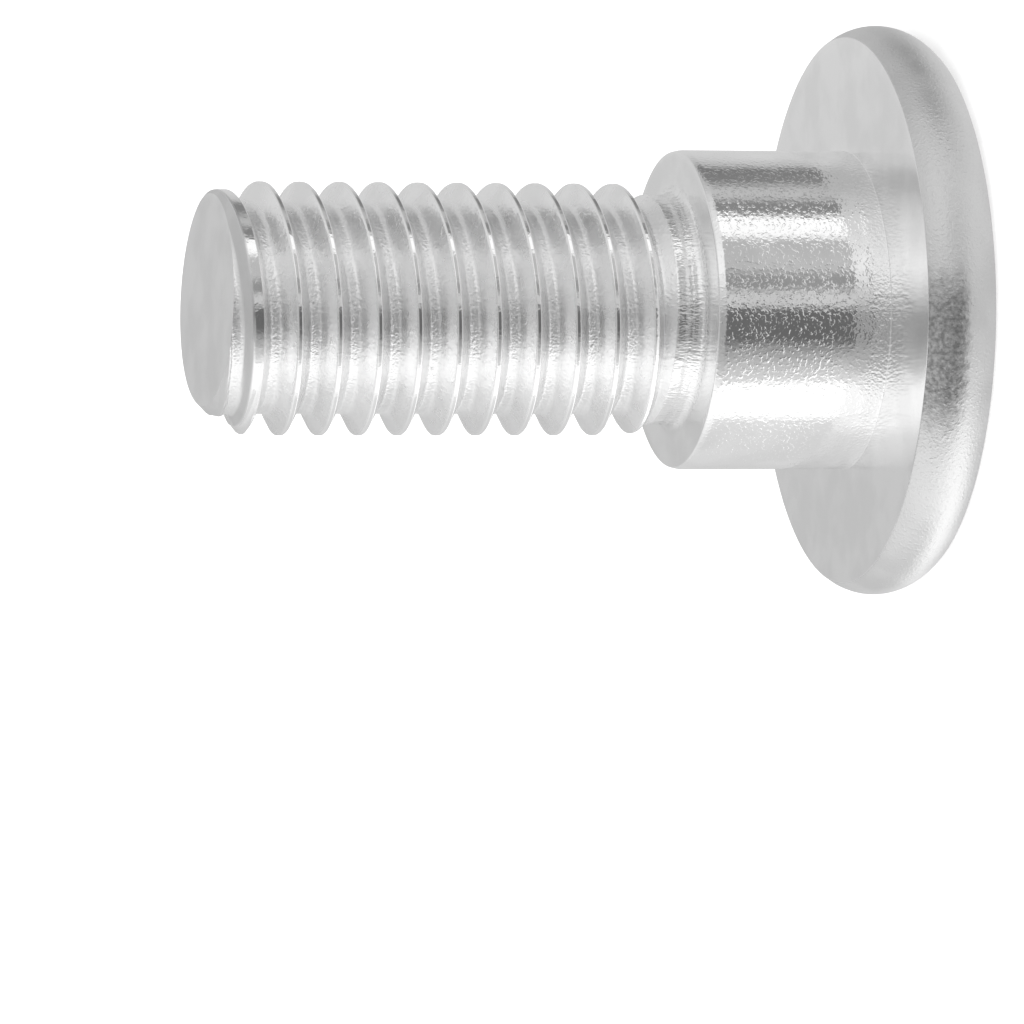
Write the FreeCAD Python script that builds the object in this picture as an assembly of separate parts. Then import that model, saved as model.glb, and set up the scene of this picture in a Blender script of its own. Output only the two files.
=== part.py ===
"""Kick starter bolt: a shoulder bolt with a thin round head and a rolled M8 thread.

The real one is a single cold-headed piece, so the model is one solid. It stands on its head: the
origin is the centre of the head's outer face, and +Z runs along the axis to the tip of the thread.
All lengths are in millimetres.
"""

import FreeCAD
import Part

import math
import os

# Head: a thin disc whose rim bulges a little, as upset metal does
HEAD_THICKNESS = 2.25
HEAD_DIAMETER = 17.7
HEAD_BULGE_HEIGHT = 1.0
HEAD_SEAT_EDGE_DIAMETER = 17.0
HEAD_OUTER_EDGE_DIAMETER = 16.8
HEAD_CORNER_CHAMFER = 0.12

# Shoulder: the running surface between the head and the neck
SHOULDER_LENGTH = 5.5
SHOULDER_DIAMETER = 9.9
SHOULDER_CHAMFER = 0.17

# Neck: the bare blank between the shoulder and the thread
NECK_LENGTH = 0.9

# Thread: M8 x 1.25, right-hand, rolled on the blank, so its crests stand as far above the blank as
# its root lies below it
THREAD_LENGTH = 13.95
THREAD_PITCH = 1.25
THREAD_DIAMETER = 7.78
THREAD_DEPTH = 0.66
THREAD_ROOT_FLAT = 0.36
THREAD_FLANK_ANGLE = 30.0
THREAD_START_ANGLE = 52.0
RUN_OUT_LENGTH = 1.1
TIP_CHAMFER = 0.6
TIP_CHAMFER_ANGLE = 60.0
TIP_SHEAR_ANGLE = 2.7
TIP_SHEAR_DIRECTION = -20.0

# The groove's cutter starts below the thread, ends above the tip and stands proud of the crests
TURNS_BELOW = 0.5
TURNS_ABOVE = 1.5
CUTTER_MARGIN = 0.15

# Drive: a hexagon socket with the cone that its punch leaves in the floor
SOCKET_SIDES = 6
SOCKET_ACROSS_FLATS = 5.0
SOCKET_DEPTH = 3.0
SOCKET_CONE_DIAMETER = 3.8
SOCKET_CONE_DEPTH = 1.1
SOCKET_MOUTH_DIAMETER = 6.0
SOCKET_MOUTH_ANGLE = 30.0

seat_height = HEAD_THICKNESS
shoulder_top = seat_height + SHOULDER_LENGTH
thread_base = shoulder_top + NECK_LENGTH
tip_height = thread_base + THREAD_LENGTH
crest_radius = THREAD_DIAMETER / 2
root_radius = crest_radius - THREAD_DEPTH
neck_radius = crest_radius - THREAD_DEPTH / 2


def point(radius, height):
    """A point of an outline in the XZ plane."""
    return FreeCAD.Vector(radius, 0, height)


def turned(edges):
    """The solid that a closed outline in the XZ plane makes when it turns about the Z axis."""
    outline = Part.Face(Part.Wire(edges))
    return outline.revolve(FreeCAD.Vector(0, 0, 0), FreeCAD.Vector(0, 0, 1), 360)


def lines(points):
    """Straight edges from each point to the next."""
    return [Part.makeLine(start, end) for start, end in zip(points, points[1:])]


def headed_body():
    """Everything that the dies form: head, shoulder, neck and the core of the run-out."""
    shoulder = SHOULDER_DIAMETER / 2
    seat_edge = point(HEAD_SEAT_EDGE_DIAMETER / 2, seat_height)
    bulge = point(HEAD_DIAMETER / 2, HEAD_BULGE_HEIGHT)
    outer_edge = point(HEAD_OUTER_EDGE_DIAMETER / 2, HEAD_CORNER_CHAMFER)
    face_edge = point(HEAD_OUTER_EDGE_DIAMETER / 2 - HEAD_CORNER_CHAMFER, 0)
    rim = Part.Arc(seat_edge, bulge, outer_edge).toShape()
    straight = lines([
        outer_edge,
        face_edge,
        point(0, 0),
        point(0, thread_base + 2 * RUN_OUT_LENGTH),
        point(2 * root_radius - neck_radius, thread_base + 2 * RUN_OUT_LENGTH),
        point(neck_radius, thread_base),
        point(neck_radius, shoulder_top),
        point(shoulder - SHOULDER_CHAMFER, shoulder_top),
        point(shoulder, shoulder_top - SHOULDER_CHAMFER),
        point(shoulder, seat_height),
        seat_edge,
    ])
    return turned([rim] + straight)


def sheared_off():
    """What the shear takes off the bar: everything above a plane that isn't quite square."""
    side = 2 * THREAD_DIAMETER
    corner = FreeCAD.Vector(-side / 2, -side / 2, 0)
    block = Part.makeBox(side, side, THREAD_DIAMETER, corner)
    block.rotate(FreeCAD.Vector(0, 0, 0), FreeCAD.Vector(0, 1, 0), TIP_SHEAR_ANGLE)
    block.rotate(FreeCAD.Vector(0, 0, 0), FreeCAD.Vector(0, 0, 1), TIP_SHEAR_DIRECTION)
    block.translate(FreeCAD.Vector(0, 0, tip_height))
    return block


def thread():
    """The threaded end: a bar with a tapered start and a chamfered tip, less the groove."""
    chamfer_rise = TIP_CHAMFER * math.tan(math.radians(TIP_CHAMFER_ANGLE))
    bar = turned(lines([
        point(0, thread_base),
        point(neck_radius, thread_base),
        point(crest_radius, thread_base + RUN_OUT_LENGTH / 2),
        point(crest_radius, tip_height - chamfer_rise),
        point(crest_radius - 2 * TIP_CHAMFER, tip_height + chamfer_rise),
        point(0, tip_height + chamfer_rise),
        point(0, thread_base),
    ]))
    return bar.cut([groove(), sheared_off()])


def groove():
    """The cutter for the helical groove: a trapezoid that follows the helix, turn after turn."""
    outer = crest_radius + CUTTER_MARGIN
    half_root = THREAD_ROOT_FLAT / 2
    half_outer = half_root + (outer - root_radius) * math.tan(math.radians(THREAD_FLANK_ANGLE))
    profile = Part.Wire(lines([
        point(root_radius, -half_root),
        point(root_radius, half_root),
        point(outer, half_outer),
        point(outer, -half_outer),
        point(root_radius, -half_root),
    ]))

    length = THREAD_LENGTH + (TURNS_BELOW + TURNS_ABOVE) * THREAD_PITCH
    helix = Part.makeLongHelix(THREAD_PITCH, length, root_radius, 0)
    sweep = Part.BRepOffsetAPI.MakePipeShell(Part.Wire(helix.Edges))
    sweep.setBiNormalMode(FreeCAD.Vector(0, 0, 1))
    sweep.add(profile)
    sweep.build()
    sweep.makeSolid()
    cutter = sweep.shape()
    cutter.rotate(FreeCAD.Vector(0, 0, 0), FreeCAD.Vector(0, 0, 1), THREAD_START_ANGLE)
    cutter.translate(FreeCAD.Vector(0, 0, thread_base - TURNS_BELOW * THREAD_PITCH))
    return cutter


def socket():
    """The hexagon recess with its coned floor and chamfered mouth."""
    corner_radius = SOCKET_ACROSS_FLATS / 2 / math.cos(math.pi / SOCKET_SIDES)
    corners = []
    for side in range(SOCKET_SIDES):
        angle = 2 * math.pi * side / SOCKET_SIDES
        corners.append(FreeCAD.Vector(math.cos(angle), math.sin(angle), 0) * corner_radius)
    hexagon = Part.Face(Part.makePolygon(corners + corners[:1]))
    prism = hexagon.extrude(FreeCAD.Vector(0, 0, SOCKET_DEPTH))

    floor_centre = FreeCAD.Vector(0, 0, SOCKET_DEPTH)
    floor = Part.makeCone(SOCKET_CONE_DIAMETER / 2, 0, SOCKET_CONE_DEPTH, floor_centre)
    mouth_radius = SOCKET_MOUTH_DIAMETER / 2
    mouth_depth = mouth_radius * math.tan(math.radians(SOCKET_MOUTH_ANGLE))
    mouth = Part.makeCone(mouth_radius, 0, mouth_depth)
    return prism.fuse([floor, mouth])


def shoulder_bolt():
    """The whole bolt as one solid."""
    body = headed_body().fuse(thread())
    finished = body.cut(socket()).removeSplitter()
    return finished.Solids[0]


os.makedirs("parts", exist_ok=True)
bolt = shoulder_bolt()
bolt.exportStep("parts/shoulder_bolt.step")
print("valid", bolt.isValid(), "volume", round(bolt.Volume, 3), "faces", len(bolt.Faces))
print("box", bolt.optimalBoundingBox())
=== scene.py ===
"""The looks of a zinc plated shoulder bolt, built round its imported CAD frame.

The bolt is one piece of steel, so it is one mesh: the headed blank is turned from rings of points,
and Geometry Nodes roll the thread on it. The stage is a pale floor and a light tent with dark
strips.
"""

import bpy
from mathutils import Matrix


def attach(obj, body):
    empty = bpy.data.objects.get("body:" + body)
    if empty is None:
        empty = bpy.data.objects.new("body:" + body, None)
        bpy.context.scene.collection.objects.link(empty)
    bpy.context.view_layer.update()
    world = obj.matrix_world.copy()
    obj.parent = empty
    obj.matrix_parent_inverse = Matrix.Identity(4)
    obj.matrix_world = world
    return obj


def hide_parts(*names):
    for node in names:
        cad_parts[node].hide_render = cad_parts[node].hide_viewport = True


bl_info = {
    "name": "Shoulder bolt",
    "version": (1, 0, 0),
    "blender": (4, 5, 0),
    "location": "3D View > Sidebar > Bolt",
    "description": "Makes a zinc plated shoulder bolt and the stage that it is shown on",
    "category": "Object",
}

import math

import bmesh
import bpy
import numpy as np
from bpy.props import FloatProperty, FloatVectorProperty, IntProperty, PointerProperty
from bpy.types import Operator, Panel, PropertyGroup
from mathutils import Matrix, Vector

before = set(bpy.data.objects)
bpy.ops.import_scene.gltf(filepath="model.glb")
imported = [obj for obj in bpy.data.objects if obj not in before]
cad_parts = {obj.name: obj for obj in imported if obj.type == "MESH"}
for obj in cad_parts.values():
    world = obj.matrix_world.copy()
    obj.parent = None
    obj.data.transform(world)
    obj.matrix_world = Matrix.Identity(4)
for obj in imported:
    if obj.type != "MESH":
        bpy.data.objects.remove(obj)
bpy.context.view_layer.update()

MM = 0.001
MICRON = 0.000001
NODE = "shoulder_bolt"


def size(name, default, description):
    """A length property whose default is given in millimetres."""
    return FloatProperty(name=name, description=description, default=default * MM, min=0.0,
                         precision=5, unit="LENGTH")


def angle(name, default, description):
    """An angle property whose default is given in degrees."""
    return FloatProperty(name=name, description=description, default=math.radians(default),
                         precision=4, unit="ROTATION")


def share(name, default, description):
    """A plain number from 0 up."""
    return FloatProperty(name=name, description=description, default=default, min=0.0)


class BoltSizes(PropertyGroup):
    """The sizes of the bolt, as in its CAD source but for the softer corners of the real one."""

    head_thickness: size("Head thickness", 2.25, "From the outer face to the seat")
    head_bulge_radius: size("Head bulge radius", 8.85, "The widest radius of the rim")
    head_bulge_height: size("Head bulge height", 1.0, "Where the rim is widest")
    head_seat_radius: size("Seat edge radius", 8.5, "The rim's radius at the seat")
    head_face_radius: size("Outer edge radius", 8.4, "The rim's radius at the outer face")
    head_chamfer: size("Head chamfer", 0.12, "The chamfer round the outer face")
    shoulder_length: size("Shoulder length", 5.5, "From the seat to the shoulder's end")
    shoulder_radius: size("Shoulder radius", 4.95, "The radius that the lever turns on")
    shoulder_chamfer: size("Shoulder chamfer", 0.17, "The chamfer at the shoulder's end")
    neck_length: size("Neck length", 0.9, "The bare blank between shoulder and thread")
    thread_length: size("Thread length", 13.95, "From the neck to the tip, on the axis")
    thread_pitch: size("Thread pitch", 1.25, "From one turn to the next")
    thread_radius: size("Thread radius", 3.89, "The radius over the crests")
    thread_depth: size("Thread depth", 0.66, "From the crests to the root")
    thread_root_flat: size("Root flat", 0.36, "The width of the groove's floor")
    thread_flank: angle("Flank angle", 30.0, "Between a flank and the plane across the axis")
    thread_start: angle("Thread start", 52.0, "Where the groove starts round the axis")
    thread_turns_below: share("Turns below", 0.5, "Turns of the groove below the thread's base")
    run_out: size("Run-out", 1.1, "The length over which the groove comes to full depth")
    tip_chamfer: size("Tip chamfer", 0.6, "How far the tip is narrower than the crests")
    tip_chamfer_angle: angle("Tip chamfer angle", 45.0, "Between the chamfer and the end face")
    tip_lip: size("Tip lip", 0.25, "How far the last crest lies below the others")
    tip_offset: size("Tip offset", 0.16, "How far the chamfer's axis lies off the bolt's axis")
    tip_shear: angle("Tip shear", 2.7, "How far the end face is off square")
    tip_shear_direction: angle("Tip shear direction", -20.0, "The way that the end face leans")
    socket_flats: size("Socket flats", 5.0, "Across the flats of the hexagon")
    socket_depth: size("Socket depth", 3.0, "From the outer face to the socket's floor")
    socket_cone_radius: size("Socket cone radius", 1.9, "The cone that the punch leaves")
    socket_cone_depth: size("Socket cone depth", 1.1, "The cone's depth below the floor")
    socket_mouth_radius: size("Socket mouth radius", 3.0, "The chamfered mouth")
    socket_mouth_angle: angle("Socket mouth angle", 30.0, "Between the mouth's cone and the face")
    columns: IntProperty(name="Columns", description="Points round the axis, a multiple of 6",
                         default=180, min=24)
    rows_per_turn: IntProperty(name="Rows per turn", description="Rows of points on each turn",
                               default=28, min=8)


class ZincFinish(PropertyGroup):
    """The zinc plating."""

    light_tone: FloatVectorProperty(name="Light tone", description="The plating where it is bright",
                                    subtype="COLOR", default=(0.93, 0.93, 0.93), min=0.0, max=1.0)
    dull_tone: FloatVectorProperty(name="Dull tone", description="The plating where it is dull",
                                   subtype="COLOR", default=(0.86, 0.86, 0.86), min=0.0, max=1.0)
    wave: size("Thread waviness", 0.02, "How far the rolled flanks stray from a true helix")


class StudioSettings(PropertyGroup):
    """The stage and the camera."""

    lens: FloatProperty(name="Lens", description="Focal length", default=301.25, unit="CAMERA")
    elevation: angle("Elevation", 15.865, "How far the camera looks down")
    roll: angle("Roll", -0.199, "The camera's turn about its own axis")
    distance: size("Distance", 265.61, "From the camera to the shoulder's end")
    offset_right: size("Offset right", 4.97, "Of the shoulder's end from the picture's centre")
    offset_up: size("Offset up", 6.27, "Of the shoulder's end from the picture's centre")
    floor_size: size("Floor size", 3000.0, "The side of the floor")
    tent_radius: size("Tent radius", 150.0, "The light tent round the bolt")
    tent_light: share("Tent light", 0.88, "How bright the tent's white cloth is")
    floor_tone: share("Floor tone", 0.9, "The floor's own brightness")
    fill: share("Fill", 0.8, "The light that comes from all round")


class Sums:
    """Adds nodes to a node tree and links them, so that a formula reads as one."""

    def __init__(self, tree):
        self.tree = tree

    def put(self, socket, value):
        """Links a socket or sets its value."""
        if isinstance(value, bpy.types.NodeSocket):
            self.tree.links.new(value, socket)
        else:
            socket.default_value = value

    def node(self, kind, inputs=None, **settings):
        """A node with its settings, and its inputs by name or number."""
        made = self.tree.nodes.new(kind)
        for name, value in settings.items():
            setattr(made, name, value)
        for name, value in (inputs or {}).items():
            self.put(made.inputs[name], value)
        return made

    def __call__(self, operation, *values):
        """The result of a Math node."""
        made = self.node("ShaderNodeMath", operation=operation)
        for socket, value in zip(made.inputs, values):
            self.put(socket, value)
        return made.outputs[0]

    def scaled(self, value, low, high, to_low, to_high, smooth=False):
        """Value mapped from one range to another, and held inside it."""
        kind = "SMOOTHSTEP" if smooth else "LINEAR"
        made = self.node("ShaderNodeMapRange", {
            "Value": value, "From Min": low, "From Max": high, "To Min": to_low, "To Max": to_high,
        }, interpolation_type=kind)
        return made.outputs["Result"]

    def blend(self, way, first, second):
        """A number between two others, where the way goes from 0 to 1."""
        made = self.node("ShaderNodeMix", {0: way, 2: first, 3: second}, data_type="FLOAT")
        return made.outputs[0]

    def noise(self, place, cell, detail=2.0):
        """A noise whose bumps are about one cell across, in metres."""
        return self.node("ShaderNodeTexNoise", {
            "Vector": place, "Scale": 1 / cell, "Detail": detail,
        }).outputs[0]

    def parts(self, place):
        """The X, Y and Z of a place."""
        return self.node("ShaderNodeSeparateXYZ", {"Vector": place}).outputs

    def turn_of(self, parts):
        """The angle of a place round the bolt, from the camera's side upwards in the picture."""
        return self("ARCTAN2", parts["X"], self("MULTIPLY", parts["Y"], -1.0))


def empty_material(name):
    """A material without nodes, and the sums that fill it."""
    made = bpy.data.materials.new(name)
    made.use_nodes = True
    made.node_tree.nodes.clear()
    return made, Sums(made.node_tree)


# The plating's clouds and its widest bumps, and how high the noise is where a speck stands proud
CLOUD_CELL = 1.6 * MM
CLOUD_RANGE = (0.3, 0.7)
PATCH_RANGE = (0.35, 0.65)
PEEL_CELL = 0.3 * MM
SPECK_RANGE = (0.52, 0.87)

# The frosted ring on the shoulder: the heights above the seat between which it fades, and its bumps
FROST_FADE = (0.3 * MM, 0.65 * MM)
FROST_RAGGED_CELL = 0.5 * MM
FROST_RAGGED = 0.35 * MM
FROST_CELL = 0.1 * MM
FROST_BUMPS = 22.0

# The painted dark reflection on the rim, on its side towards the camera: the angles round the bolt
# between which it starts and ends, and the heights between which it starts
REFLECTION_START = (math.radians(-27), math.radians(-19))
REFLECTION_END = (math.radians(0), math.radians(9))
REFLECTION_FOOT = (0.95 * MM, 1.25 * MM)
REFLECTION_RAGGED_CELL = 0.35 * MM
REFLECTION_RAGGED_TURN = 0.2
REFLECTION_RAGGED_HEIGHT = 0.7 * MM
MOTTLE_CELL = 0.13 * MM
MOTTLE_SHADES = (0.36, 0.66)
RIM_SHADE = 0.82

# The marks that the dies leave in the thread's root, and the shade of its torn first turn
MARKS_CELL = 0.08 * MM
MARKS_HEIGHT = 18.0
TORN_SHADE = 0.8


def zinc(name, finish, rough, peel, grain, specked=0.0, grain_cell=0.11, speck_cell=0.14,
         bright=1.0, along=1.0, extra=None):
    """Zinc plating, in a material of its own.

    Peel, grain and specked are heights in microns, and the cells are in millimetres. Along draws
    the bumps out along the axis where it is under 1. Extra changes the height and the gloss, and
    gives the shade.
    """
    made, sums = empty_material(name)
    place = sums.node("ShaderNodeTexCoord").outputs["Object"]
    if along != 1.0:
        stretch = {"Vector": place, "Scale": (1.0, 1.0, along)}
        place = sums.node("ShaderNodeMapping", stretch).outputs[0]
    cloud = sums.noise(place, CLOUD_CELL, detail=3.0)
    patch = sums.scaled(cloud, *PATCH_RANGE, 0.0, 1.0, smooth=True)
    tone = sums.node("ShaderNodeMix", {
        0: patch, 6: (*finish.dull_tone, 1.0), 7: (*finish.light_tone, 1.0),
    }, data_type="RGBA").outputs[2]
    height = sums("MULTIPLY", sums.noise(place, PEEL_CELL, detail=1.0), peel)
    fine = sums("MULTIPLY", sums.noise(place, grain_cell * MM, detail=1.0), grain)
    uneven = sums.scaled(cloud, *CLOUD_RANGE, 0.6, 1.4)
    height = sums("ADD", height, sums("MULTIPLY", fine, uneven))
    if specked:
        specks = sums.noise(place, speck_cell * MM, detail=1.0)
        specks = sums.scaled(specks, *SPECK_RANGE, 0.0, 1.0)
        height = sums("ADD", height, sums("MULTIPLY", specks, specked))
    gloss = sums.scaled(cloud, *CLOUD_RANGE, rough * 0.85, rough * 1.2)
    shade = bright
    if extra:
        height, gloss, shade = extra(sums, place, height, gloss)
    tone = sums.node("ShaderNodeVectorMath", {0: tone, "Scale": shade}, operation="SCALE")
    bump = sums.node("ShaderNodeBump", {"Distance": MICRON, "Height": height})
    shader = sums.node("ShaderNodeBsdfPrincipled", {
        "Base Color": tone.outputs[0], "Metallic": 1.0, "Roughness": gloss,
        "Normal": bump.outputs[0],
    })
    sums.node("ShaderNodeOutputMaterial", {"Surface": shader.outputs[0]})
    return made


def frosted_ring(seat):
    """Makes the plating frosty on the shoulder next to the head, where the dies meet."""
    def extra(sums, place, height, gloss):
        ragged = sums("MULTIPLY", sums.noise(place, FROST_RAGGED_CELL), FROST_RAGGED)
        level = sums("SUBTRACT", sums.parts(place)["Z"], ragged)
        full, gone = (seat + above for above in FROST_FADE)
        frost = sums.scaled(level, full, gone, 1.0, 0.0, smooth=True)
        rough_skin = sums("MULTIPLY", sums.noise(place, FROST_CELL, detail=1.0), FROST_BUMPS)
        height = sums("ADD", height, sums("MULTIPLY", frost, rough_skin))
        gloss = sums("ADD", gloss, sums("MULTIPLY", frost, 0.04))
        return height, gloss, 1.0
    return extra


def rim_painted_reflection(sums, place, height, gloss):
    """Paints a mottled dark reflection into the rim's colour in one place on its seat side, towards
    the camera, and gives the rest of the rim an even darker tone.
    """
    parts = sums.parts(place)
    ragged = sums("SUBTRACT", sums.noise(place, REFLECTION_RAGGED_CELL), 0.5)
    turn = sums("ADD", sums.turn_of(parts), sums("MULTIPLY", ragged, REFLECTION_RAGGED_TURN))
    level = sums("ADD", parts["Z"], sums("MULTIPLY", ragged, REFLECTION_RAGGED_HEIGHT))
    # 1 where the dark reflection is painted into the colour, with ragged edges
    painted_reflection = sums.scaled(turn, *REFLECTION_START, 0.0, 1.0)
    painted_reflection = sums("MULTIPLY", painted_reflection, sums.scaled(turn, *REFLECTION_END, 1.0, 0.0))
    painted_reflection = sums("MULTIPLY", painted_reflection, sums.scaled(level, *REFLECTION_FOOT, 0.0, 1.0))
    mottle = sums.scaled(sums.noise(place, MOTTLE_CELL), *PATCH_RANGE, *MOTTLE_SHADES)
    return height, gloss, sums.blend(painted_reflection, RIM_SHADE, mottle)


def rolled_marks(sums, place, height, gloss):
    """Roughens the thread's root, where the dies squeeze the metal, and smooths its crests; the torn
    first turn is rougher and darker.
    """
    level = sums.node("ShaderNodeAttribute", attribute_name="thread_height").outputs["Fac"]
    torn = sums.node("ShaderNodeAttribute", attribute_name="thread_torn").outputs["Fac"]
    root = sums.scaled(level, 0.02, 0.2, 1.0, 0.0, smooth=True)
    crest = sums.scaled(level, 0.9, 0.97, 0.0, 1.0, smooth=True)
    marks = sums("MULTIPLY", root, sums.noise(place, MARKS_CELL, detail=1.0))
    height = sums("MULTIPLY", height, sums.scaled(crest, 0.0, 1.0, 1.0, 0.4))
    height = sums("ADD", height, sums("MULTIPLY", marks, MARKS_HEIGHT))
    gloss = sums("ADD", gloss, sums("MULTIPLY", root, 0.04))
    gloss = sums("SUBTRACT", gloss, sums("MULTIPLY", crest, 0.15))
    gloss = sums("ADD", gloss, sums("MULTIPLY", torn, 0.3))
    height = sums("MULTIPLY", height, sums.scaled(torn, 0.0, 1.0, 1.0, 0.25))
    return height, gloss, sums.scaled(torn, 0.0, 1.0, 1.0, TORN_SHADE)


def finishes(finish, seat):
    """The plating of each part of the bolt, in the order of the mesh's material slots."""
    return [
        zinc("zinc_rolled_thread", finish, rough=0.27, peel=6.0, grain=6.0, specked=9.0,
             extra=rolled_marks),
        zinc("zinc_sheared_tip", finish, rough=0.5, peel=1.0, grain=1.5, bright=0.93),
        zinc("zinc_neck", finish, rough=0.17, peel=8.0, grain=18.0, grain_cell=0.08,
             specked=10.0, along=0.35),
        zinc("zinc_shoulder_end", finish, rough=0.2, peel=1.0, grain=2.0),
        zinc("zinc_shoulder", finish, rough=0.06, peel=2.0, grain=3.0, specked=5.0,
             speck_cell=0.11, extra=frosted_ring(seat)),
        zinc("zinc_seat", finish, rough=0.12, peel=0.4, grain=0.6),
        # The rim's colour holds a painted dark reflection, mottled, on its side towards the camera
        zinc("zinc_rim", finish, rough=0.42, peel=1.0, grain=9.0, grain_cell=0.08, specked=10.0,
             speck_cell=0.11, extra=rim_painted_reflection),
        zinc("zinc_outer_face", finish, rough=0.22, peel=2.0, grain=3.0, specked=6.0),
    ]


(THREAD, TIP, NECK, SHOULDER_END, SHOULDER, SEAT, RIM, OUTER_FACE) = range(8)


# The rows of one turn of the thread crowd where its profile bends: each pair is a share of the rows
# and the share of the pitch that they have climbed from the groove's middle
ROW_PHASES = ((0.0, 0.0), (0.25, 0.23), (0.357, 0.43), (0.464, 0.468), (0.5, 0.5), (0.536, 0.532),
              (0.643, 0.57), (0.75, 0.77), (1.0, 1.0))
SPARE_TURNS = 3
FACE_RINGS = 14

# Keeps a whole row from being rounded down, and joins points that lie closer than this
ROW_MARGIN = 0.001
WELD = 1.5 * MICRON

# How softly the groove's floor, the crests, the tip's chamfer and the run-out are rounded
ROOT_SOFTNESS = 0.2 * MM
CREST_SOFTNESS = 0.03 * MM
CHAMFER_SOFTNESS = 0.08 * MM
RUN_OUT_SOFTNESS = 0.25 * MM

# Next to the tip the metal sinks in, and the last crest lies lower: the heights that are left up to
# the tip between which each fades out. The end face stands at most END_RISE above the tip
SUNK = 0.08 * MM
SUNK_FADE = (0.1 * MM, 0.6 * MM)
LIP_FADE = (0.9 * MM, 1.15 * MM)
END_RISE = 0.148 * MM

# The first turn is torn. Places round the bolt are shares of a full turn. From one place to another,
# each push moves the groove away from the tip, or back, by a length. It fades out with the height
# that is left up to the tip
PUSHES = ((0.30, 0.45, 0.29 * MM), (0.50, 0.62, -0.18 * MM), (0.62, 0.80, -0.11 * MM))
PUSH_FADE = (0.5 * MM, 1.0 * MM)

# There the groove is open towards the tip: a place on that side counts as nearer to its middle, at
# OPEN_SHARE of its distance
OPEN_SHARE = 0.5
OPEN_FADE = (0.3 * MM, 0.45 * MM)
OPEN_START = (0.35, 0.45)
OPEN_END = (0.50, 0.60)

# The line above which the metal is torn. It is lowest at its middle place, TORN_DEPTH below the tip,
# and rises by TORN_PITCHES to both sides
TORN_LINE = (0.35, 0.50, 1.00)
TORN_PITCHES = 0.5
TORN_DEPTH = 0.90 * MM
TORN_EDGE = 0.05 * MM

# The thread's flanks stray a little from the helix, growing with the height above the neck and with
# the height that is left up to the tip
WAVE_CELL = 0.9 * MM
WAVE_START = (0.0, 0.5 * MM)
WAVE_END = (0.2 * MM, 0.6 * MM)

THREAD_NUMBERS = ("Pitch", "Base", "Tip", "Crest", "Depth", "Root flat", "Start", "Neck", "Run-out",
                  "Chamfer", "Lip", "Offset", "Wave", "Flank slope", "Chamfer slope", "Shear X",
                  "Shear Y")
THREAD_COUNTS = ("Turns", "Columns", "Rows per turn", "Rings")


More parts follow.
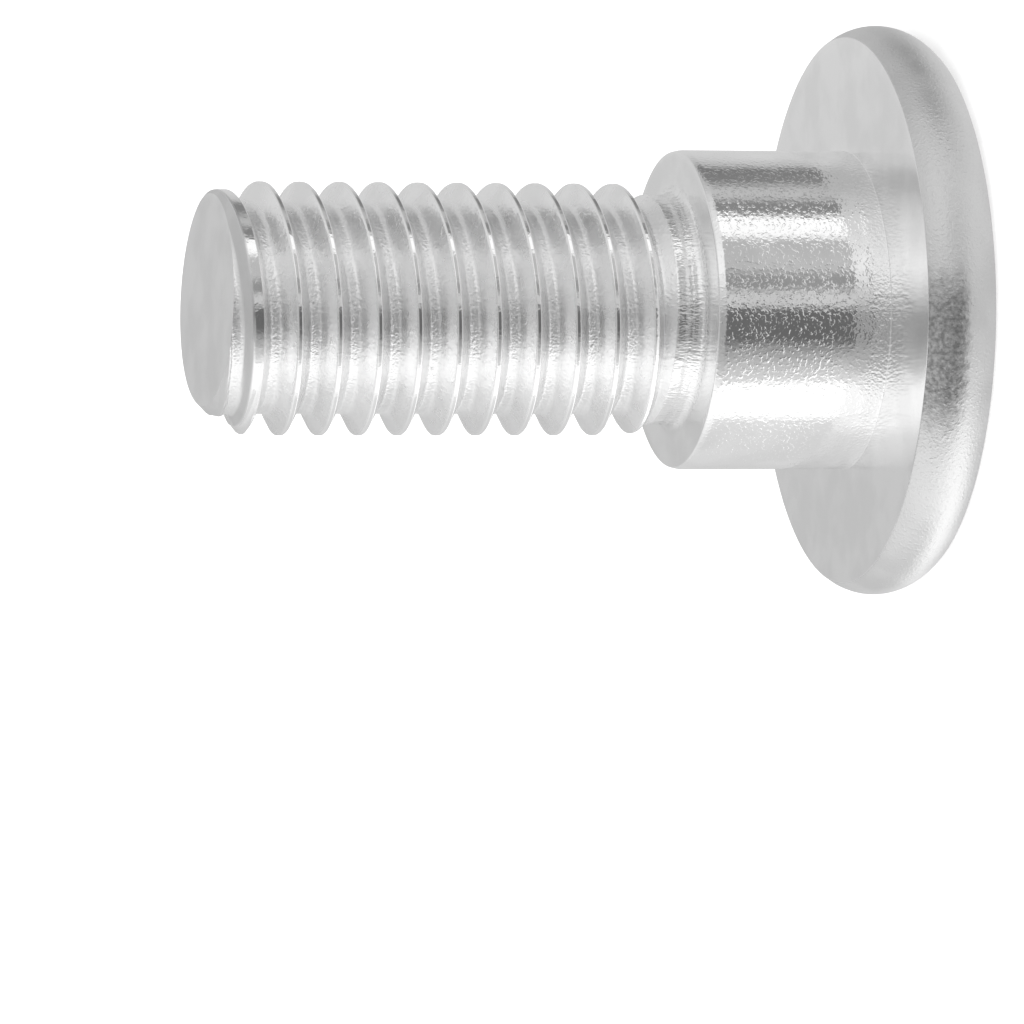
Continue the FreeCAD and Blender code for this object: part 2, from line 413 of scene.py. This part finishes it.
class ThreadNodes(Sums):
    """The nodes that roll the thread: rows of points that follow the helix.

    Across is a place round the bolt as a share of a full turn, turn is the same as an angle, and
    left is the height that is left up to the tip.
    """

    def __init__(self, tree):
        super().__init__(tree)
        self.given = self.node("NodeGroupInput").outputs
        self.root = self("SUBTRACT", self.given["Crest"], self.given["Depth"])
        self.tip_radius = self("SUBTRACT", self.given["Crest"], self.given["Chamfer"])

    def grid(self, rows):
        """A flat grid, and where each of its points lies: across it, as a turn, and up it."""
        columns = self("ADD", self.given["Columns"], 1.0)
        made = self.node("GeometryNodeMeshGrid", {
            "Size X": 1.0, "Size Y": 1.0, "Vertices X": columns, "Vertices Y": rows,
        })
        parts = self.parts(self.node("GeometryNodeInputPosition").outputs[0])
        across = self("ADD", parts["X"], 0.5)
        turn = self("MULTIPLY", across, 2 * math.pi)
        return made.outputs["Mesh"], across, turn, self("ADD", parts["Y"], 0.5)

    def top(self, turn):
        """The height of the end face's edge, which isn't quite square to the axis."""
        along_x = self("MULTIPLY", self("COSINE", turn), self.given["Shear X"])
        along_y = self("MULTIPLY", self("SINE", turn), self.given["Shear Y"])
        lean = self("MULTIPLY", self("ADD", along_x, along_y), self.tip_radius)
        level = self("SUBTRACT", self.given["Tip"], lean)
        return self("MINIMUM", level, self("ADD", self.given["Tip"], END_RISE))

    def chamfer(self, left, turn):
        """The radius of the tip's chamfer, whose axis lies a little off the bolt's."""
        shift = self("MULTIPLY", self.given["Offset"], self("COSINE", turn))
        edge = self("ADD", self.tip_radius, shift)
        return self("ADD", edge, self("DIVIDE", left, self.given["Chamfer slope"]))

    def from_groove(self, height, left, across):
        """How far along the axis a place counts as lying from the middle of the groove."""
        pitch = self.given["Pitch"]
        pushed = 0.0
        for start, end, push in PUSHES:
            pushed = self("ADD", pushed, self.scaled(across, start, end, 0.0, push))
        faded = self.scaled(left, *PUSH_FADE, 1.0, 0.0, smooth=True)
        pushed = self("MULTIPLY", pushed, faded)
        helix = self("ADD", self.given["Start"], self("MULTIPLY", pitch, across))
        turns = self("SUBTRACT", self("ADD", height, pushed), helix)
        turns = self("DIVIDE", turns, pitch)
        off = self("SUBTRACT", turns, self("ROUND", turns))
        kept = self.scaled(left, *OPEN_FADE, OPEN_SHARE, 1.0)
        kept = self("ADD", kept, self.scaled(across, *OPEN_START, 1.0, 0.0))
        kept = self("ADD", kept, self.scaled(across, *OPEN_END, 0.0, 1.0))
        kept = self("MINIMUM", kept, 1.0)
        off = self("MAXIMUM", self("MULTIPLY", off, kept), self("MULTIPLY", off, -1.0))
        return self("MULTIPLY", off, pitch)

    def rolled(self, height, off):
        """The radius of the rolled groove and its crests, which come out of the bare neck."""
        given = self.given
        rise = self("SUBTRACT", off, self("MULTIPLY", given["Root flat"], 0.5))
        rise = self("DIVIDE", rise, given["Flank slope"])
        rise = self("SMOOTH_MAX", rise, 0.0, ROOT_SOFTNESS)
        rise = self("SMOOTH_MIN", rise, given["Depth"], CREST_SOFTNESS)
        come_up = self("DIVIDE", self("SUBTRACT", height, given["Base"]), given["Run-out"])
        soft = self.scaled(come_up, 0.0, 0.5, 0.0, RUN_OUT_SOFTNESS)
        blank = self("MULTIPLY", self("SUBTRACT", given["Crest"], given["Neck"]), come_up)
        blank = self("ADD", given["Neck"], self("MULTIPLY", blank, 2.0))
        core = self("MULTIPLY", self("SUBTRACT", given["Neck"], self.root), come_up)
        core = self("SUBTRACT", given["Neck"], self("MULTIPLY", core, 2.0))
        out = self("SMOOTH_MIN", self("ADD", self.root, rise), blank, soft)
        return self("SMOOTH_MAX", out, core, soft)

    def radius(self, height, across, turn):
        """The radius at a place, and how high that is between root and crest."""
        given = self.given
        left = self("SUBTRACT", given["Tip"], height)
        out = self.rolled(height, self.from_groove(height, left, across))
        out = self("SUBTRACT", out, self.scaled(left, *SUNK_FADE, SUNK, 0.0, smooth=True))
        lip = self.scaled(left, *LIP_FADE, given["Lip"], 0.0, smooth=True)
        out = self("MINIMUM", out, self("SUBTRACT", given["Crest"], lip))
        depth = self("SUBTRACT", given["Depth"], lip)
        level = self("DIVIDE", self("SUBTRACT", out, self.root), depth)
        return self("SMOOTH_MIN", out, self.chamfer(left, turn), CHAMFER_SOFTNESS), level

    def torn(self, height, across, level):
        """1 where the metal is torn, and 0 elsewhere."""
        start, middle, end = TORN_LINE
        line = self.scaled(across, start, middle, TORN_PITCHES, 0.0)
        line = self("ADD", line, self.scaled(across, middle, end, 0.0, TORN_PITCHES))
        line = self("SUBTRACT", self("MULTIPLY", line, self.given["Pitch"]), TORN_DEPTH)
        above = self("SUBTRACT", height, self("ADD", self.given["Tip"], line))
        torn = self.scaled(above, 0.0, TORN_EDGE, 0.0, 1.0)
        return self("MULTIPLY", torn, self.scaled(level, 0.02, 0.1, 0.0, 1.0))

    def climb(self, across, up):
        """How many pitches each row has climbed from the groove's first middle."""
        row = self("MULTIPLY", up, self.given["Turns"])
        whole = self("FLOOR", self("ADD", row, ROW_MARGIN))
        part = self("SUBTRACT", row, whole)
        phase = 0.0
        for (from_row, from_phase), (to_row, to_phase) in zip(ROW_PHASES, ROW_PHASES[1:]):
            step = self.scaled(part, from_row, to_row, 0.0, to_phase - from_phase)
            phase = self("ADD", phase, step)
        return self("ADD", self("ADD", whole, phase), self("SUBTRACT", across, 1.0))

    def stored(self, mesh, name, value):
        """The mesh with a value that its material reads."""
        return self.node("GeometryNodeStoreNamedAttribute", {
            "Geometry": mesh, "Name": name, "Value": value,
        }, data_type="FLOAT", domain="POINT").outputs[0]

    def placed(self, mesh, turn, out, height, finish):
        """The mesh with its points at those cylindrical coordinates, and with its finish."""
        place = self.node("ShaderNodeCombineXYZ", {
            "X": self("MULTIPLY", out, self("COSINE", turn)),
            "Y": self("MULTIPLY", out, self("SINE", turn)),
            "Z": height,
        }).outputs[0]
        moved = self.node("GeometryNodeSetPosition", {"Geometry": mesh, "Position": place})
        return self.node("GeometryNodeSetMaterial", {
            "Geometry": moved.outputs[0], "Material": finish,
        }).outputs[0]

    def wall(self, finish):
        """The thread from the neck to the end face, in rows that climb with its helix."""
        given = self.given
        rows = self("ADD", self("MULTIPLY", given["Turns"], given["Rows per turn"]), 1.0)
        mesh, across, turn, up = self.grid(rows)
        climbed = self("MULTIPLY", self.climb(across, up), given["Pitch"])
        height = self("MAXIMUM", self("ADD", given["Start"], climbed), given["Base"])
        height = self("MINIMUM", height, self.top(turn))
        out, level = self.radius(height, across, turn)
        mesh = self.stored(mesh, "thread_height", level)
        mesh = self.stored(mesh, "thread_torn", self.torn(height, across, level))
        return self.placed(mesh, turn, out, height, finish)

    def end_face(self, finish):
        """The sheared end face, in rings from its edge to its middle."""
        mesh, across, turn, up = self.grid(self.given["Rings"])
        edge, _ = self.radius(self.top(turn), across, turn)
        inward = self("SUBTRACT", 1.0, up)
        drop = self("MULTIPLY", self("SUBTRACT", self.given["Tip"], self.top(turn)), inward)
        height = self("SUBTRACT", self.given["Tip"], drop)
        return self.placed(mesh, turn, self("MULTIPLY", edge, inward), height, finish)

    def waved(self, mesh):
        """The mesh with flanks that stray a little from the helix."""
        place = self.node("GeometryNodeInputPosition").outputs[0]
        height = self.parts(place)["Z"]
        stray = self("SUBTRACT", self.noise(place, WAVE_CELL), 0.5)
        stray = self("MULTIPLY", stray, self.given["Wave"])
        above = self.scaled(self("SUBTRACT", height, self.given["Base"]), *WAVE_START, 0.0, 1.0)
        below = self.scaled(self("SUBTRACT", self.given["Tip"], height), *WAVE_END, 0.0, 1.0)
        stray = self("MULTIPLY", stray, self("MULTIPLY", above, below))
        normal = self.node("GeometryNodeInputNormal").outputs[0]
        offset = self.node("ShaderNodeVectorMath", {0: normal, "Scale": stray}, operation="SCALE")
        return self.node("GeometryNodeSetPosition", {
            "Geometry": mesh, "Offset": offset.outputs[0],
        }).outputs[0]


def thread_tree(thread_finish, tip_finish):
    """A Geometry Nodes tree that rolls the thread."""
    tree = bpy.data.node_groups.new("rolled_thread", "GeometryNodeTree")
    tree.interface.new_socket("Geometry", in_out="OUTPUT", socket_type="NodeSocketGeometry")
    for name in THREAD_NUMBERS:
        tree.interface.new_socket(name, in_out="INPUT", socket_type="NodeSocketFloat")
    for name in THREAD_COUNTS:
        tree.interface.new_socket(name, in_out="INPUT", socket_type="NodeSocketInt")
    nodes = ThreadNodes(tree)
    joined = nodes.node("GeometryNodeJoinGeometry")
    for branch in (nodes.wall(thread_finish), nodes.end_face(tip_finish)):
        tree.links.new(branch, joined.inputs[0])
    welded = nodes.node("GeometryNodeMergeByDistance", {
        "Geometry": joined.outputs[0], "Distance": WELD,
    })
    last = nodes.node("NodeGroupOutput")
    tree.links.new(nodes.waved(welded.outputs[0]), last.inputs[0])
    return tree


def rolled_thread(sizes, finish, materials):
    """The threaded end as a plain mesh, open at the neck."""
    base = sizes.head_thickness + sizes.shoulder_length + sizes.neck_length
    tip = base + sizes.thread_length
    lead = sizes.thread_start / (2 * math.pi) + sizes.thread_turns_below
    shear = math.tan(sizes.tip_shear)
    values = {
        "Pitch": sizes.thread_pitch, "Base": base, "Tip": tip, "Crest": sizes.thread_radius,
        "Depth": sizes.thread_depth, "Root flat": sizes.thread_root_flat,
        "Start": base - lead * sizes.thread_pitch,
        "Neck": sizes.thread_radius - sizes.thread_depth / 2, "Run-out": sizes.run_out,
        "Chamfer": sizes.tip_chamfer, "Lip": sizes.tip_lip, "Offset": sizes.tip_offset,
        "Wave": finish.wave,
        "Flank slope": math.tan(sizes.thread_flank),
        "Chamfer slope": math.tan(sizes.tip_chamfer_angle),
        "Shear X": shear * math.cos(sizes.tip_shear_direction),
        "Shear Y": shear * math.sin(sizes.tip_shear_direction),
        "Turns": math.ceil(sizes.thread_length / sizes.thread_pitch) + SPARE_TURNS,
        "Columns": sizes.columns, "Rows per turn": sizes.rows_per_turn, "Rings": FACE_RINGS,
    }
    tree = thread_tree(materials[THREAD], materials[TIP])
    mesh = bpy.data.meshes.new("threaded_end")
    holder = bpy.data.objects.new("threaded_end", mesh)
    bpy.context.scene.collection.objects.link(holder)
    modifier = holder.modifiers.new("rolled_thread", "NODES")
    modifier.node_group = tree
    for item in tree.interface.items_tree:
        if item.in_out == "INPUT":
            modifier[item.identifier] = values[item.name]
    depsgraph = bpy.context.evaluated_depsgraph_get()
    made = bpy.data.meshes.new_from_object(holder.evaluated_get(depsgraph))
    for face in made.polygons:
        face.material_index = materials.index(made.materials[face.material_index])
    bpy.data.objects.remove(holder)
    bpy.data.meshes.remove(mesh)
    return made


def rounded(before, corner, after, radius, steps=4):
    """Points that round the corner of an outline, from one side of it to the other."""
    corner = Vector(corner)
    towards = [(Vector(p) - corner).normalized() for p in (before, after)]
    start, end = (corner + way * radius for way in towards)
    points = []
    for step in range(steps + 1):
        t = step / steps
        points.append(start * (1 - t) ** 2 + corner * 2 * t * (1 - t) + end * t ** 2)
    return [tuple(p) for p in points]


def arc(start, middle, end, steps):
    """Points on the circle through three points."""
    (x1, y1), (x2, y2), (x3, y3) = start, middle, end
    d = 2 * (x1 * (y2 - y3) + x2 * (y3 - y1) + x3 * (y1 - y2))
    s1, s2, s3 = x1 * x1 + y1 * y1, x2 * x2 + y2 * y2, x3 * x3 + y3 * y3
    cx = (s1 * (y2 - y3) + s2 * (y3 - y1) + s3 * (y1 - y2)) / d
    cy = (s1 * (x3 - x2) + s2 * (x1 - x3) + s3 * (x2 - x1)) / d
    radius = math.hypot(x1 - cx, y1 - cy)
    first, last = math.atan2(y1 - cy, x1 - cx), math.atan2(y3 - cy, x3 - cx)
    angles = [first + (last - first) * step / steps for step in range(steps + 1)]
    return [(cx + radius * math.cos(a), cy + radius * math.sin(a)) for a in angles]


def spaced(start, end, steps):
    """Points on a straight line, without its first."""
    return [tuple(Vector(start).lerp(Vector(end), step / steps)) for step in range(1, steps + 1)]


# The blank's corners, as the lengths on each side that round them
NECK_FILLET = 0.3 * MM
SHOULDER_EDGE = 0.06 * MM
SHOULDER_LEAD = 0.05 * MM
SEAT_FILLET = 0.035 * MM
HEAD_CORNER = 0.05 * MM

# The rolled collar on the neck: heights above the shoulder's end, and how deep its waist is
COLLAR_TOP = 0.55 * MM
COLLAR_WAIST = 0.46 * MM
COLLAR_FOOT = 0.38 * MM
COLLAR_DEPTH = 0.03 * MM

# The shoulder's chamfer is steeper than 45 degrees: its two legs, as shares of its size
LEAD_ACROSS = 0.3
LEAD_ALONG = 1.4

# The rings of the socket's wall, flat floor and cone
SOCKET_SIDES = 6
WALL_RINGS = 6
FLOOR_RINGS = 4
CONE_RINGS = 6


def blank_outline(sizes):
    """The blank's outline from the neck to the socket's mouth, as bands of one finish each."""
    seat = sizes.head_thickness
    end = seat + sizes.shoulder_length
    base = end + sizes.neck_length
    neck = sizes.thread_radius - sizes.thread_depth / 2
    shoulder = sizes.shoulder_radius
    chamfer = sizes.shoulder_chamfer
    foot = (neck, end)
    collar = [(neck, base), (neck, end + COLLAR_TOP), (neck - COLLAR_DEPTH, end + COLLAR_WAIST),
              (neck, end + COLLAR_FOOT)]
    fillet = rounded(collar[-1], foot, (shoulder, end), NECK_FILLET, steps=6)
    root = (shoulder, seat)
    lead_top = (shoulder - LEAD_ACROSS * chamfer, end)
    lead_foot = (shoulder, end - LEAD_ALONG * chamfer)
    corner = rounded(foot, lead_top, lead_foot, SHOULDER_EDGE)
    corner += rounded(lead_top, lead_foot, root, SHOULDER_LEAD)
    seat_edge = (sizes.head_seat_radius, seat)
    root_fillet = rounded(corner[-1], root, seat_edge, SEAT_FILLET)
    bulge = (sizes.head_bulge_radius, sizes.head_bulge_height)
    outer_edge = (sizes.head_face_radius, sizes.head_chamfer)
    face_edge = (sizes.head_face_radius - sizes.head_chamfer, 0.0)
    rim = arc(seat_edge, bulge, outer_edge, 14)
    seat_corner = rounded(root, seat_edge, rim[1], HEAD_CORNER)
    outer_corner = rounded(rim[-2], outer_edge, face_edge, HEAD_CORNER)
    face_corner = rounded(outer_edge, face_edge, (0.0, 0.0), HEAD_CORNER)
    mouth = (sizes.socket_mouth_radius, 0.0)
    neck_band = collar[:1] + spaced(collar[0], collar[1], 3) + collar[2:] + fillet
    face_band = fillet[-1:] + spaced(fillet[-1], corner[0], 6) + corner[1:3]
    side_band = corner[2:] + spaced(corner[-1], root_fillet[0], 20) + root_fillet[1:3]
    seat_band = root_fillet[2:] + spaced(root_fillet[-1], seat_corner[0], 10) + seat_corner[1:3]
    rim_band = seat_corner[2:] + rim[2:-1] + outer_corner + face_corner
    face = face_corner[-1:] + spaced(face_corner[-1], mouth, 10)
    return [(NECK, neck_band), (SHOULDER_END, face_band), (SHOULDER, side_band),
            (SEAT, seat_band), (RIM, rim_band), (OUTER_FACE, face)]


def socket_rings(sizes, turns):
    """The rings of the hexagon socket, from its mouth to the ring round the middle of its floor."""
    within = np.mod(turns, 2 * math.pi / SOCKET_SIDES) - math.pi / SOCKET_SIDES
    hexagon = sizes.socket_flats / 2 / np.cos(within)
    same = np.ones_like(turns)
    lip = (sizes.socket_mouth_radius - hexagon) * math.tan(sizes.socket_mouth_angle)
    depth = sizes.socket_depth
    cone = sizes.socket_cone_radius
    rings = [(hexagon, lip)]
    for step in range(1, WALL_RINGS + 1):
        rings.append((hexagon, lip + (depth - lip) * step / WALL_RINGS))
    for step in range(1, FLOOR_RINGS + 1):
        rings.append((hexagon + (cone - hexagon) * step / FLOOR_RINGS, depth * same))
    for step in range(1, CONE_RINGS):
        left = 1 - step / CONE_RINGS
        rings.append((cone * left * same, (depth + sizes.socket_cone_depth * (1 - left)) * same))
    return rings


def headed_blank(sizes):
    """The head, shoulder and neck as a mesh of rings, open at the neck."""
    count = sizes.columns
    turns = np.arange(count) * 2 * math.pi / count
    same = np.ones(count)
    rings, zones = [], []
    for zone, band in blank_outline(sizes):
        new = band if not rings else band[1:]
        rings += [(radius * same, height * same) for radius, height in new]
        zones += [zone] * len(new)
    inner = socket_rings(sizes, turns)
    rings += inner
    zones += [OUTER_FACE] * len(inner)
    made = bmesh.new()
    loops = []
    for radius, height in rings:
        points = zip(radius * np.cos(turns), radius * np.sin(turns), height)
        loops.append([made.verts.new(point) for point in points])
    apex = made.verts.new((0.0, 0.0, sizes.socket_depth + sizes.socket_cone_depth))
    for upper, lower, zone in zip(loops, loops[1:], zones[1:]):
        for i in range(count):
            j = (i + 1) % count
            made.faces.new((upper[i], upper[j], lower[j], lower[i])).material_index = zone
    for i in range(count):
        j = (i + 1) % count
        made.faces.new((loops[-1][i], loops[-1][j], apex)).material_index = OUTER_FACE
    mesh = bpy.data.meshes.new("headed_blank")
    made.to_mesh(mesh)
    made.free()
    return mesh


class BOLT_OT_bolt(Operator):
    """Make the bolt: the headed blank with its rolled thread and its zinc plating"""

    bl_idname = "bolt.make_bolt"
    bl_label = "Make the bolt"

    def execute(self, context):
        """Builds the piece and puts it in the place of its CAD node."""
        sizes = context.scene.bolt_sizes
        finish = context.scene.zinc_finish
        materials = finishes(finish, sizes.head_thickness)
        thread = rolled_thread(sizes, finish, materials)
        blank = headed_blank(sizes)
        joined = bmesh.new()
        joined.from_mesh(thread)
        joined.from_mesh(blank)
        bmesh.ops.remove_doubles(joined, verts=joined.verts, dist=WELD)
        bmesh.ops.recalc_face_normals(joined, faces=joined.faces)
        if any(not edge.is_manifold for edge in joined.edges):
            raise RuntimeError("the bolt's mesh isn't closed")
        for face in joined.faces:
            face.smooth = True
        mesh = bpy.data.meshes.new("zinc_bolt")
        for material in materials:
            mesh.materials.append(material)
        joined.to_mesh(mesh)
        joined.free()
        mesh.set_sharp_from_angle(angle=math.radians(40))
        piece = bpy.data.objects.new("zinc_bolt", mesh)
        context.scene.collection.objects.link(piece)
        for spare in (thread, blank):
            bpy.data.meshes.remove(spare)
        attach(piece, "root")
        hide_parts(NODE)
        return {"FINISHED"}


# The light tent. Each pair is a place and how bright the cloth is there, where 1 is white. The low
# and the middle strips stand at an angle round the bolt in degrees, from the camera's side upwards
# in the picture. The strips on the ground and the roof lie across it, from -1 at the picture's
# lower side to 1 at its upper side
LOW_STRIPS = (
    (-180, 0.68), (-150, 0.80), (-105, 0.86), (-88, 0.94), (-80, 1.55), (-58, 1.55), (-52, 0.88),
    (-38, 0.58), (-28, 0.36), (-22, 0.17), (-2, 0.17), (3, 0.72), (9, 0.74), (15, 0.36), (22, 0.36),
    (29, 0.62), (48, 0.60), (54, 1.30), (66, 1.30), (72, 0.30), (80, 0.28), (88, 0.62), (94, 0.60),
    (104, 0.28), (118, 0.24), (126, 0.60), (140, 0.76), (172, 0.76), (180, 0.68),
)
MIDDLE_STRIPS = (
    (-180, 0.68), (-172, 0.66), (-150, 0.80), (-102, 1.05), (-78, 1.35), (-60, 1.35), (-42, 0.65),
    (-24, 0.45), (-6, 0.42), (6, 0.70), (18, 0.95), (30, 1.15), (48, 1.05), (78, 0.80),
    (102, 0.60), (114, 0.60), (132, 0.78), (172, 0.80), (180, 0.68),
)
ROOF_STRIPS = (
    (-1.0, 1.15), (-0.72, 1.25), (-0.60, 1.15), (-0.48, 0.90), (-0.34, 0.68), (-0.20, 0.60),
    (0.0, 0.62), (0.20, 0.70), (0.36, 0.86), (0.50, 0.90), (0.70, 0.76), (1.0, 0.60),
)
GROUND_STRIPS = (
    (-1.0, 1.40), (-0.86, 1.75), (-0.62, 1.75), (-0.52, 1.20), (-0.40, 1.00), (-0.26, 0.84),
    (-0.05, 0.80), (0.10, 0.82), (0.26, 0.94), (0.45, 1.00), (0.70, 0.88), (0.86, 0.66),
    (1.0, 0.60),
)

# The heights over which each row of strips takes over from the one below it, as shares of the
# tent's radius
LOW_FOOT = (-0.5, -0.36)
MIDDLE_FOOT = (-0.14, 0.04)
ROOF_FOOT = (0.5, 0.74)

# A ramp's colours end at 1, so it holds shares of this brightness
BRIGHTEST = 1.8

# The floor's own glow, and how far it lies below the bolt
FLOOR_GLOW = 0.45
FLOOR_GAP = 0.01 * MM

# The lamps: each one's place and width in metres, and its power in watts
LAMPS = (
    ("top_lamp", (-0.10, -0.15, 0.70), 0.8, 2.2),
    ("side_lamp", (-0.60, -0.30, 0.45), 0.6, 1.2),
)
STAGE_MIDDLE = (0.0, 0.0, 12 * MM)


def seen(sums):
    """1 for the rays that show the background: to the camera, in metal and through glass."""
    path = sums.node("ShaderNodeLightPath").outputs
    shown = sums("MAXIMUM", path["Is Camera Ray"], path["Is Glossy Ray"])
    return sums("MAXIMUM", shown, path["Is Transmission Ray"])


def floor(studio):
    """The pale floor."""
    half = studio.floor_size / 2
    mesh = bpy.data.meshes.new("floor")
    corners = [(-half, -half, 0), (half, -half, 0), (half, half, 0), (-half, half, 0)]
    mesh.from_pydata(corners, [], [(0, 1, 2, 3)])
    mesh.transform(Matrix.Translation((0, 0, -FLOOR_GAP)))
    material, sums = empty_material("pale_floor")
    tone = (studio.floor_tone,) * 3 + (1.0,)
    matt = sums.node("ShaderNodeBsdfDiffuse", {"Color": tone})
    glow = sums.node("ShaderNodeEmission", {
        "Color": tone, "Strength": sums("MULTIPLY", seen(sums), FLOOR_GLOW),
    })
    both = sums.node("ShaderNodeAddShader", {0: matt.outputs[0], 1: glow.outputs[0]})
    sums.node("ShaderNodeOutputMaterial", {"Surface": both.outputs[0]})
    mesh.materials.append(material)
    made = bpy.data.objects.new("floor", mesh)
    made.visible_glossy = False
    return made


def strips(sums, place, low, high, pairs):
    """How bright a row of strips is at a place that lies between low and high."""
    ramp = sums.node("ShaderNodeValToRGB", {"Fac": sums.scaled(place, low, high, 0.0, 1.0)})
    stops = ramp.color_ramp.elements
    while len(stops) < len(pairs):
        stops.new(0.5)
    for stop, (mark, bright) in zip(stops, pairs):
        stop.position = (mark - low) / (high - low)
        stop.color = (bright / BRIGHTEST,) * 3 + (1.0,)
    return sums("MULTIPLY", ramp.outputs["Color"], BRIGHTEST)


def light_tent(studio, centre):
    """A tent that only shows in the bolt's metal: pale cloth with dark and bright strips."""
    shape = bmesh.new()
    bmesh.ops.create_uvsphere(shape, u_segments=64, v_segments=32, radius=studio.tent_radius)
    mesh = bpy.data.meshes.new("light_tent")
    shape.to_mesh(mesh)
    shape.free()
    mesh.transform(Matrix.Translation((0, 0, centre)))
    material, sums = empty_material("tent_cloth")
    parts = sums.parts(sums.node("ShaderNodeTexCoord").outputs["Object"])
    turn = sums("DEGREES", sums.turn_of(parts))
    rise = sums("DIVIDE", sums("SUBTRACT", parts["Z"], centre), studio.tent_radius)
    across = sums("DIVIDE", parts["X"], studio.tent_radius)
    low = strips(sums, turn, -180, 180, LOW_STRIPS)
    middle = strips(sums, turn, -180, 180, MIDDLE_STRIPS)
    roof = strips(sums, across, -1, 1, ROOF_STRIPS)
    bright = strips(sums, across, -1, 1, GROUND_STRIPS)
    for above, foot in ((low, LOW_FOOT), (middle, MIDDLE_FOOT), (roof, ROOF_FOOT)):
        way = sums.scaled(rise, *foot, 0.0, 1.0, smooth=True)
        bright = sums.blend(way, bright, above)
    cloth = sums.node("ShaderNodeEmission", {
        "Strength": sums("MULTIPLY", bright, studio.tent_light),
    })
    sums.node("ShaderNodeOutputMaterial", {"Surface": cloth.outputs[0]})
    mesh.materials.append(material)
    made = bpy.data.objects.new("light_tent", mesh)
    made.visible_camera = False
    made.visible_diffuse = False
    made.visible_shadow = False
    made.visible_transmission = False
    return made


def lamp(name, place, width, watts):
    """A soft square lamp that points at the bolt and lights the floor."""
    data = bpy.data.lights.new(name, "AREA")
    data.size = width
    data.energy = watts
    made = bpy.data.objects.new(name, data)
    way = (Vector(place) - Vector(STAGE_MIDDLE)).to_track_quat("Z", "Y")
    made.matrix_world = Matrix.Translation(place) @ way.to_matrix().to_4x4()
    made.visible_glossy = False
    return made


def photo_camera(studio, aim):
    """The camera. Its picture's upper side is the bolt's +X, and the tip points to the left."""
    down, turn = studio.elevation, studio.roll
    # The bolt's +X and +Z as the camera sees them: x to the right, y down and z ahead
    upwards = Vector((math.sin(turn), -math.cos(turn), 0.0))
    axis = Vector((-math.cos(down) * math.cos(turn), -math.cos(down) * math.sin(turn),
                   -math.sin(down)))
    to_view = Matrix((upwards, axis.cross(upwards), axis)).transposed()
    away = Vector((studio.offset_right, -studio.offset_up, studio.distance))
    eye = Vector(aim) - to_view.transposed() @ away
    right, below, ahead = (to_view[row] for row in range(3))
    data = bpy.data.cameras.new("photo_camera")
    data.sensor_width = 36.0
    data.lens = studio.lens
    data.clip_start = 0.01
    data.clip_end = 10.0
    made = bpy.data.objects.new("photo_camera", data)
    facing = Matrix((right, -below, -ahead)).transposed()
    made.matrix_world = Matrix.Translation(eye) @ facing.to_4x4()
    return made


class BOLT_OT_stage(Operator):
    """Make the stage: the floor, the light tent, the lamps, the world and the camera"""

    bl_idname = "bolt.make_stage"
    bl_label = "Make the stage"

    def execute(self, context):
        """Builds everything round the bolt."""
        scene = context.scene
        studio = scene.studio
        sizes = scene.bolt_sizes
        shoulder_end = sizes.head_thickness + sizes.shoulder_length
        ground = floor(studio)
        tent = light_tent(studio, STAGE_MIDDLE[2])
        camera = photo_camera(studio, (0.0, 0.0, shoulder_end))
        lamps = [lamp(name, place, width, watts) for name, place, width, watts in LAMPS]
        for made in [ground, tent, camera] + lamps:
            scene.collection.objects.link(made)
        scene.camera = camera
        world = bpy.data.worlds.new("white_surround")
        world.use_nodes = True
        tree = world.node_tree
        tree.nodes.clear()
        sums = Sums(tree)
        strength = sums.scaled(seen(sums), 0.0, 1.0, studio.fill, 1.0)
        back = sums.node("ShaderNodeBackground", {"Color": (1.0,) * 4, "Strength": strength})
        sums.node("ShaderNodeOutputWorld", {"Surface": back.outputs[0]})
        scene.world = world
        scene.view_settings.view_transform = "Standard"
        return {"FINISHED"}


class BOLT_PT_panel(Panel):
    """The sidebar panel that lists the operators and their settings"""

    bl_label = "Bolt"
    bl_idname = "BOLT_PT_panel"
    bl_space_type = "VIEW_3D"
    bl_region_type = "UI"
    bl_category = "Bolt"

    def draw(self, context):
        """Lists each operator with the settings that it reads."""
        for operator, groups in (("bolt.make_bolt", ("bolt_sizes", "zinc_finish")),
                                 ("bolt.make_stage", ("studio",))):
            column = self.layout.column(align=True)
            column.operator(operator)
            for group in groups:
                settings = getattr(context.scene, group)
                for name in settings.__annotations__:
                    column.prop(settings, name)


CLASSES = (BoltSizes, ZincFinish, StudioSettings, BOLT_OT_bolt, BOLT_OT_stage, BOLT_PT_panel)


def register():
    """Adds the classes and their settings."""
    for cls in CLASSES:
        bpy.utils.register_class(cls)
    bpy.types.Scene.bolt_sizes = PointerProperty(type=BoltSizes)
    bpy.types.Scene.zinc_finish = PointerProperty(type=ZincFinish)
    bpy.types.Scene.studio = PointerProperty(type=StudioSettings)


def unregister():
    """Removes what register added."""
    for name in ("bolt_sizes", "zinc_finish", "studio"):
        delattr(bpy.types.Scene, name)
    for cls in reversed(CLASSES):
        bpy.utils.unregister_class(cls)


def main():
    """Makes the bolt and its stage."""
    register()
    bpy.ops.bolt.make_bolt()
    bpy.ops.bolt.make_stage()


if __name__ == "__main__":
    main()
